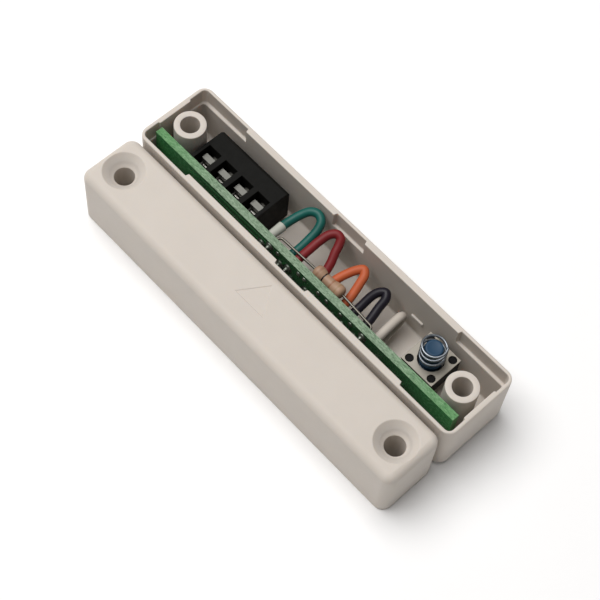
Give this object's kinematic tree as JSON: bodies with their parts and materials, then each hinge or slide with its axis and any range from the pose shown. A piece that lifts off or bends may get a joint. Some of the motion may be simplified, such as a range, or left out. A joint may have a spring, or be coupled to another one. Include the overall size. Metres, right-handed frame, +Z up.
{
  "type": "surface-mount door contact sensor",
  "caption": "Two slim rounded screw-on housings side by side: a switch unit shown open, with board, screw terminals, wire links, reed and tamper switch, and a plain magnet unit.",
  "frame": {"origin": "middle of the pair's bounding box, on the surface that both units lie on", "axes": "+X along both housings, from the terminals to the tamper switch; +Y across, from the magnet unit to the switch unit; +Z up, out of the switch unit's open back"},
  "size_m": [0.0644, 0.0238, 0.0115],
  "materials": {
    "housing_plastic": "fine satin moulded ABS, off-white",
    "ferrite": "matt sintered magnet",
    "board_laminate": "green solder mask over glass laminate",
    "terminal_plastic": "satin black nylon",
    "terminal_metal": "zinc-plated steel",
    "tinned_metal": "tinned wire and strip",
    "resistor_coating": "beige lacquer with painted bands",
    "chip_ceramic": "black coated ceramic with tinned ends",
    "reed_glass": "clear greenish glass",
    "switch_plastic": "black moulded plastic",
    "switch_plate": "stamped stainless sheet",
    "spring_steel": "bright spring wire and dome",
    "plunger_plastic": "blue moulded plastic",
    "insulation_grey": "pale grey sleeving",
    "insulation_green": "teal green PVC",
    "insulation_red": "deep red PVC",
    "insulation_orange": "orange PVC",
    "insulation_violet": "dark violet PVC",
    "insulation_white": "off-white PVC"
  },
  "bodies": {
    "sensor_case": {"sensor_housing": "housing_plastic"},
    "board_module": {"circuit_board": "board_laminate", "terminal_body": "terminal_plastic", "terminal_pin_1": "tinned_metal", "terminal_pin_2": "tinned_metal", "terminal_pin_3": "tinned_metal", "terminal_pin_4": "tinned_metal", "link_wire_green": "insulation_green", "link_wire_red": "insulation_red", "link_wire_orange": "insulation_orange", "link_wire_violet": "insulation_violet", "link_wire_white": "insulation_white", "link_sleeve": "insulation_grey", "resistor_body": "resistor_coating", "resistor_lead_left": "tinned_metal", "resistor_lead_right": "tinned_metal", "chip_resistor_1": "chip_ceramic", "chip_resistor_2": "chip_ceramic", "chip_resistor_3": "chip_ceramic", "chip_resistor_4": "chip_ceramic", "reed_glass": "reed_glass", "reed_lead_left": "tinned_metal", "reed_lead_right": "tinned_metal", "tamper_base": "switch_plastic", "tamper_cover_plate": "switch_plate", "tamper_dome": "spring_steel", "tamper_leg_left": "tinned_metal", "tamper_leg_right": "tinned_metal"},
    "terminal_screw_1": {"terminal_screw_1": "terminal_metal"},
    "terminal_clamp_1": {"terminal_clamp_1": "terminal_metal"},
    "terminal_screw_2": {"terminal_screw_2": "terminal_metal"},
    "terminal_clamp_2": {"terminal_clamp_2": "terminal_metal"},
    "terminal_screw_3": {"terminal_screw_3": "terminal_metal"},
    "terminal_clamp_3": {"terminal_clamp_3": "terminal_metal"},
    "terminal_screw_4": {"terminal_screw_4": "terminal_metal"},
    "terminal_clamp_4": {"terminal_clamp_4": "terminal_metal"},
    "tamper_plunger": {"tamper_plunger": "plunger_plastic"},
    "tamper_spring": {"tamper_spring": "spring_steel"},
    "reed_blade": {"reed_blade_moving": "tinned_metal"},
    "magnet_unit": {"magnet_housing": "housing_plastic", "bar_magnet": "ferrite"}
  },
  "joints": [
    {"name": "magnet_slide", "type": "slide", "parent": "sensor_case", "child": "magnet_unit", "axis": [0, -1, 0], "range_m": [0, 0.06]},
    {"name": "board_lift", "type": "slide", "parent": "sensor_case", "child": "board_module", "axis": [0, 0, 1], "range_m": [0, 0.015]},
    {"name": "reed_blade_bend", "type": "hinge", "parent": "board_module", "child": "reed_blade", "pos_m": [0.00775, 0.00407, 0.00307], "axis": [0, -1, 0], "range_deg": [0, 1.7]},
    {"name": "tamper_press", "type": "slide", "parent": "board_module", "child": "tamper_plunger", "axis": [0, 0, -1], "range_m": [0, 0.0003], "stiffness_N_per_m": 4000, "springref_m": -0.0001},
    {"name": "tamper_spring_press", "type": "slide", "parent": "tamper_plunger", "child": "tamper_spring", "axis": [0, 0, -1], "range_m": [0, 0.001], "stiffness_N_per_m": 600, "deforming": ["tamper_spring"]},
    {"name": "terminal_screw_turn_1", "type": "hinge", "parent": "board_module", "child": "terminal_screw_1", "pos_m": [-0.0231, 0.00677, 0.00615], "axis": [0, -1, 0], "range_deg": [0, 630]},
    {"name": "terminal_clamp_slide_1", "type": "slide", "parent": "board_module", "child": "terminal_clamp_1", "axis": [0, 1, 0], "range_m": [0, 0.0007]},
    {"name": "terminal_screw_turn_2", "type": "hinge", "parent": "board_module", "child": "terminal_screw_2", "pos_m": [-0.0196, 0.00677, 0.00615], "axis": [0, -1, 0], "range_deg": [0, 630]},
    {"name": "terminal_clamp_slide_2", "type": "slide", "parent": "board_module", "child": "terminal_clamp_2", "axis": [0, 1, 0], "range_m": [0, 0.0007]},
    {"name": "terminal_screw_turn_3", "type": "hinge", "parent": "board_module", "child": "terminal_screw_3", "pos_m": [-0.0161, 0.00677, 0.00615], "axis": [0, -1, 0], "range_deg": [0, 630]},
    {"name": "terminal_clamp_slide_3", "type": "slide", "parent": "board_module", "child": "terminal_clamp_3", "axis": [0, 1, 0], "range_m": [0, 0.0007]},
    {"name": "terminal_screw_turn_4", "type": "hinge", "parent": "board_module", "child": "terminal_screw_4", "pos_m": [-0.0126, 0.00677, 0.00615], "axis": [0, -1, 0], "range_deg": [0, 630]},
    {"name": "terminal_clamp_slide_4", "type": "slide", "parent": "board_module", "child": "terminal_clamp_4", "axis": [0, 1, 0], "range_m": [0, 0.0007]}
  ],
  "couplings": [
    {"joint": "reed_blade_bend", "follows": "magnet_slide", "rad_per_m": 0.4945},
    {"joint": "terminal_screw_turn_1", "follows": "terminal_clamp_slide_1", "rad_per_m": 15708},
    {"joint": "terminal_screw_turn_2", "follows": "terminal_clamp_slide_2", "rad_per_m": 15708},
    {"joint": "terminal_screw_turn_3", "follows": "terminal_clamp_slide_3", "rad_per_m": 15708},
    {"joint": "terminal_screw_turn_4", "follows": "terminal_clamp_slide_4", "rad_per_m": 15708}
  ]
}
